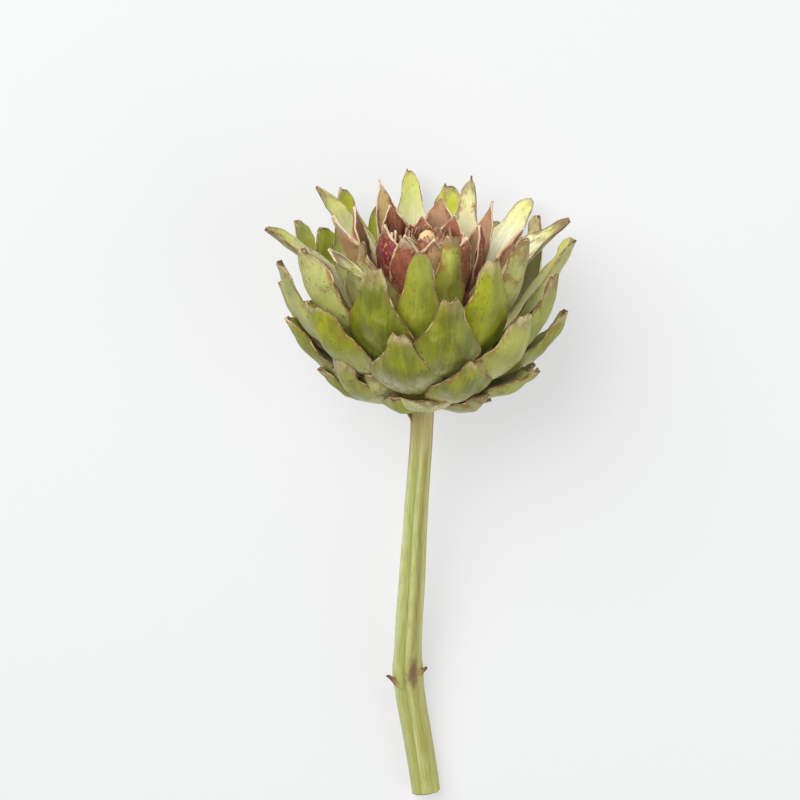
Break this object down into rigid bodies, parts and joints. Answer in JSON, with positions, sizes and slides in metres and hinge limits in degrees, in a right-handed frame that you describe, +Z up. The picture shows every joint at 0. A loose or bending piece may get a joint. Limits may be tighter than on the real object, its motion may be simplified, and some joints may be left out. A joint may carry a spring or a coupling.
{
  "type": "artichoke",
  "caption": "Cut globe artichoke lying on its side: an open head of overlapping notched bracts with a purple heart, on a ribbed bent stem.",
  "frame": {"origin": "on the surface it lies on, under the middle of its box", "axes": "+Z up from the surface, +Y from the stem's cut end towards the crown of the head"},
  "size_m": [0.1221, 0.2714, 0.1074],
  "materials": {
    "green_bract": "satin",
    "purple_bract": "satin",
    "brown_bract": "matte",
    "choke": "matte",
    "stem": "satin"
  },
  "bodies": {
    "root": {"outer_bracts": "green_bract", "inner_bracts": "purple_bract", "crown_bracts": "brown_bract", "choke": "choke", "stem": "stem"}
  },
  "joints": []
}
